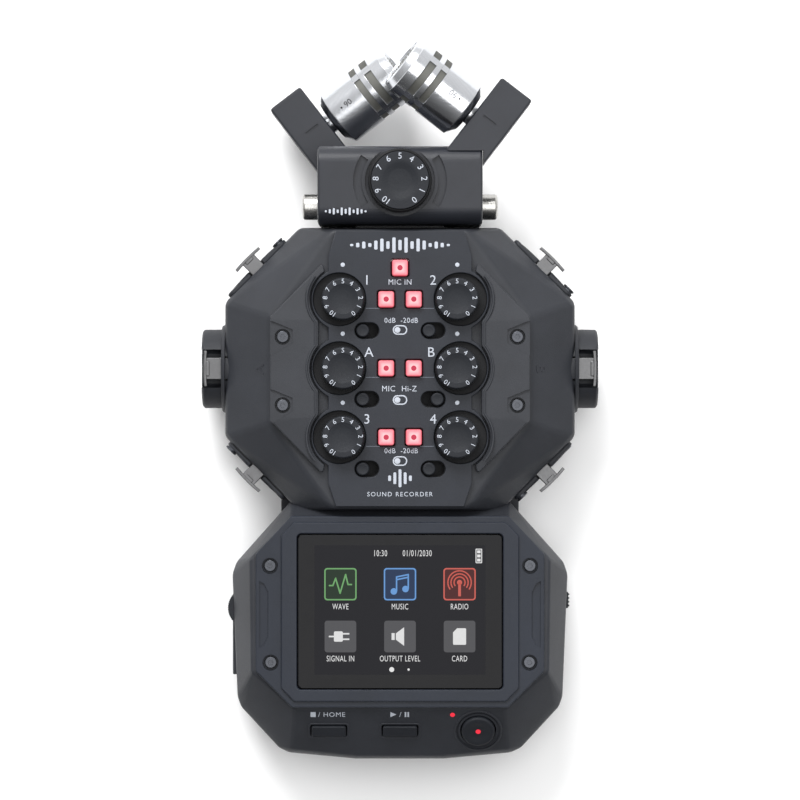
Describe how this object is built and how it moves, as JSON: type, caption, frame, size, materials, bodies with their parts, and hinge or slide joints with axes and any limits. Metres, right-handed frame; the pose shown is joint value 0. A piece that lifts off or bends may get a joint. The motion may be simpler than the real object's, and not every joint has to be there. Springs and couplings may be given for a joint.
{
  "type": "portable field recorder",
  "caption": "Handheld audio field recorder: octagonal input deck with knobs and side jacks, touch-screen deck, and a removable crossed stereo microphone module.",
  "frame": {"origin": "under the middle of the outline, on the plane of the back rails that the recorder lies on", "axes": "+X to the recorder's right seen from the front, +Y towards the microphones, +Z out of the front panel"},
  "size_m": [0.1164, 0.2106, 0.0456],
  "materials": {
    "casing": "fine satin texture",
    "panel": "satin",
    "mic_shell": "smooth satin",
    "control_rubber": "matt",
    "lit_key": "translucent, lit red",
    "jack_plastic": "satin",
    "steel": "brushed",
    "barrel": "polished",
    "screen_glass": "gloss",
    "cell_wrap": "satin",
    "board": "satin"
  },
  "bodies": {
    "recorder": {"front_housing": "casing", "rear_housing": "casing", "tripod_insert": "steel", "battery_cells": "cell_wrap", "main_board": "board", "screen_frame": "panel", "touch_glass": "screen_glass", "lcd_panel": "screen_glass", "control_panel": "panel", "guard_right": "casing", "guard_left": "casing", "xlr_jack_1": "jack_plastic", "xlr_jack_2": "jack_plastic", "xlr_jack_3": "jack_plastic", "xlr_jack_4": "jack_plastic", "combo_jack_a": "jack_plastic", "combo_jack_b": "jack_plastic", "capsule_socket": "steel"},
    "microphone_module": {"mic_housing": "mic_shell", "mic_back_cover": "mic_shell", "mic_arm_left": "mic_shell", "mic_arm_right": "mic_shell"},
    "gain_knob_1": {"gain_knob_1": "control_rubber"},
    "gain_knob_2": {"gain_knob_2": "control_rubber"},
    "gain_knob_a": {"gain_knob_a": "control_rubber"},
    "gain_knob_b": {"gain_knob_b": "control_rubber"},
    "gain_knob_3": {"gain_knob_3": "control_rubber"},
    "gain_knob_4": {"gain_knob_4": "control_rubber"},
    "track_key_mic": {"track_key_mic": "lit_key"},
    "track_key_1": {"track_key_1": "lit_key"},
    "track_key_2": {"track_key_2": "lit_key"},
    "track_key_a": {"track_key_a": "lit_key"},
    "track_key_b": {"track_key_b": "lit_key"},
    "track_key_3": {"track_key_3": "lit_key"},
    "track_key_4": {"track_key_4": "lit_key"},
    "pad_switch_1": {"pad_switch_1": "control_rubber"},
    "pad_switch_2": {"pad_switch_2": "control_rubber"},
    "pad_switch_a": {"pad_switch_a": "control_rubber"},
    "pad_switch_b": {"pad_switch_b": "control_rubber"},
    "pad_switch_3": {"pad_switch_3": "control_rubber"},
    "pad_switch_4": {"pad_switch_4": "control_rubber"},
    "home_button": {"home_button": "control_rubber"},
    "play_button": {"play_button": "control_rubber"},
    "record_button": {"record_button": "control_rubber"},
    "xlr_release_1": {"xlr_release_1": "steel"},
    "xlr_release_2": {"xlr_release_2": "steel"},
    "xlr_release_3": {"xlr_release_3": "steel"},
    "xlr_release_4": {"xlr_release_4": "steel"},
    "combo_release_a": {"combo_release_a": "steel"},
    "combo_release_b": {"combo_release_b": "steel"},
    "volume_wheel": {"volume_wheel": "control_rubber"},
    "power_switch": {"power_switch": "control_rubber"},
    "card_door": {"card_door": "casing"},
    "battery_cover": {"battery_cover": "casing"},
    "mic_dial": {"mic_dial": "control_rubber"},
    "mic_release_left": {"mic_release_left": "steel"},
    "mic_release_right": {"mic_release_right": "steel"},
    "mic_capsule_left": {"mic_capsule_left": "barrel"},
    "mic_capsule_right": {"mic_capsule_right": "barrel"}
  },
  "joints": [
    {"name": "microphone_module_slide", "type": "slide", "parent": "recorder", "child": "microphone_module", "axis": [0, 1, 0], "range_m": [0, 0.02]},
    {"name": "gain_knob_1_turn", "type": "hinge", "parent": "recorder", "child": "gain_knob_1", "pos_m": [-0.0165, 0.02921, 0.043], "axis": [0, 0, 1], "range_deg": [-144, 144]},
    {"name": "gain_knob_2_turn", "type": "hinge", "parent": "recorder", "child": "gain_knob_2", "pos_m": [0.0165, 0.02921, 0.043], "axis": [0, 0, 1], "range_deg": [-144, 144]},
    {"name": "gain_knob_a_turn", "type": "hinge", "parent": "recorder", "child": "gain_knob_a", "pos_m": [-0.0165, 0.00921, 0.043], "axis": [0, 0, 1], "range_deg": [-144, 144]},
    {"name": "gain_knob_b_turn", "type": "hinge", "parent": "recorder", "child": "gain_knob_b", "pos_m": [0.0165, 0.00921, 0.043], "axis": [0, 0, 1], "range_deg": [-144, 144]},
    {"name": "gain_knob_3_turn", "type": "hinge", "parent": "recorder", "child": "gain_knob_3", "pos_m": [-0.0165, -0.01079, 0.043], "axis": [0, 0, 1], "range_deg": [-144, 144]},
    {"name": "gain_knob_4_turn", "type": "hinge", "parent": "recorder", "child": "gain_knob_4", "pos_m": [0.0165, -0.01079, 0.043], "axis": [0, 0, 1], "range_deg": [-144, 144]},
    {"name": "track_key_mic_press", "type": "slide", "parent": "recorder", "child": "track_key_mic", "axis": [0, 0, -1], "range_m": [0, 0.0006], "stiffness_N_per_m": 400},
    {"name": "track_key_1_press", "type": "slide", "parent": "recorder", "child": "track_key_1", "axis": [0, 0, -1], "range_m": [0, 0.0006], "stiffness_N_per_m": 400},
    {"name": "track_key_2_press", "type": "slide", "parent": "recorder", "child": "track_key_2", "axis": [0, 0, -1], "range_m": [0, 0.0006], "stiffness_N_per_m": 400},
    {"name": "track_key_a_press", "type": "slide", "parent": "recorder", "child": "track_key_a", "axis": [0, 0, -1], "range_m": [0, 0.0006], "stiffness_N_per_m": 400},
    {"name": "track_key_b_press", "type": "slide", "parent": "recorder", "child": "track_key_b", "axis": [0, 0, -1], "range_m": [0, 0.0006], "stiffness_N_per_m": 400},
    {"name": "track_key_3_press", "type": "slide", "parent": "recorder", "child": "track_key_3", "axis": [0, 0, -1], "range_m": [0, 0.0006], "stiffness_N_per_m": 400},
    {"name": "track_key_4_press", "type": "slide", "parent": "recorder", "child": "track_key_4", "axis": [0, 0, -1], "range_m": [0, 0.0006], "stiffness_N_per_m": 400},
    {"name": "pad_switch_1_slide", "type": "slide", "parent": "recorder", "child": "pad_switch_1", "axis": [1, 0, 0], "range_m": [0, 0.0024]},
    {"name": "pad_switch_2_slide", "type": "slide", "parent": "recorder", "child": "pad_switch_2", "axis": [1, 0, 0], "range_m": [0, 0.0024]},
    {"name": "pad_switch_a_slide", "type": "slide", "parent": "recorder", "child": "pad_switch_a", "axis": [1, 0, 0], "range_m": [0, 0.0024]},
    {"name": "pad_switch_b_slide", "type": "slide", "parent": "recorder", "child": "pad_switch_b", "axis": [1, 0, 0], "range_m": [-0.0024, 0]},
    {"name": "pad_switch_3_slide", "type": "slide", "parent": "recorder", "child": "pad_switch_3", "axis": [1, 0, 0], "range_m": [0, 0.0024]},
    {"name": "pad_switch_4_slide", "type": "slide", "parent": "recorder", "child": "pad_switch_4", "axis": [1, 0, 0], "range_m": [0, 0.0024]},
    {"name": "home_button_press", "type": "slide", "parent": "recorder", "child": "home_button", "axis": [0, 0.4805, -0.877], "range_m": [0, 0.0007], "stiffness_N_per_m": 400},
    {"name": "play_button_press", "type": "slide", "parent": "recorder", "child": "play_button", "axis": [0, 0.4805, -0.877], "range_m": [0, 0.0007], "stiffness_N_per_m": 400},
    {"name": "record_button_press", "type": "slide", "parent": "recorder", "child": "record_button", "axis": [0, 0.4805, -0.877], "range_m": [0, 0.0007], "stiffness_N_per_m": 400},
    {"name": "xlr_release_1_press", "type": "slide", "parent": "recorder", "child": "xlr_release_1", "axis": [0.7071, -0.7071, 0], "range_m": [0, 0.002], "stiffness_N_per_m": 500},
    {"name": "xlr_release_2_press", "type": "slide", "parent": "recorder", "child": "xlr_release_2", "axis": [-0.7071, -0.7071, 0], "range_m": [0, 0.002], "stiffness_N_per_m": 500},
    {"name": "xlr_release_3_press", "type": "slide", "parent": "recorder", "child": "xlr_release_3", "axis": [0.7071, 0.7071, 0], "range_m": [0, 0.002], "stiffness_N_per_m": 500},
    {"name": "xlr_release_4_press", "type": "slide", "parent": "recorder", "child": "xlr_release_4", "axis": [-0.7071, 0.7071, 0], "range_m": [0, 0.002], "stiffness_N_per_m": 500},
    {"name": "combo_release_a_press", "type": "slide", "parent": "recorder", "child": "combo_release_a", "axis": [1, 0, 0], "range_m": [0, 0.002], "stiffness_N_per_m": 500},
    {"name": "combo_release_b_press", "type": "slide", "parent": "recorder", "child": "combo_release_b", "axis": [-1, 0, 0], "range_m": [0, 0.002], "stiffness_N_per_m": 500},
    {"name": "volume_wheel_turn", "type": "hinge", "parent": "recorder", "child": "volume_wheel", "pos_m": [-0.0446, -0.06109, 0.023], "axis": [0, 0, 1], "range_deg": [-135, 135]},
    {"name": "power_switch_slide", "type": "slide", "parent": "recorder", "child": "power_switch", "axis": [0, 1, 0], "range_m": [-0.003, 0.003]},
    {"name": "card_door_hinge", "type": "hinge", "parent": "recorder", "child": "card_door", "pos_m": [-0.0494, -0.06909, 0.0085], "axis": [0, -1, 0], "range_deg": [0, 90]},
    {"name": "battery_cover_slide", "type": "slide", "parent": "recorder", "child": "battery_cover", "axis": [0, -1, 0], "range_m": [0, 0.012]},
    {"name": "mic_dial_turn", "type": "hinge", "parent": "microphone_module", "child": "mic_dial", "pos_m": [0, 0.06351, 0.043], "axis": [0, 0, 1], "range_deg": [-144, 144]},
    {"name": "mic_release_left_press", "type": "slide", "parent": "microphone_module", "child": "mic_release_left", "axis": [1, 0, 0], "range_m": [0, 0.0025], "stiffness_N_per_m": 400},
    {"name": "mic_release_right_press", "type": "slide", "parent": "microphone_module", "child": "mic_release_right", "axis": [-1, 0, 0], "range_m": [0, 0.0025], "stiffness_N_per_m": 400},
    {"name": "mic_capsule_left_turn", "type": "hinge", "parent": "microphone_module", "child": "mic_capsule_left", "pos_m": [-0.0195, 0.08291, 0.0136], "axis": [0.7856, 0.6028, 0.1392], "range_deg": [-180, 0]},
    {"name": "mic_capsule_right_turn", "type": "hinge", "parent": "microphone_module", "child": "mic_capsule_right", "pos_m": [0.0195, 0.08401, 0.0334], "axis": [-0.7856, 0.6028, 0.1392], "range_deg": [0, 180]}
  ]
}
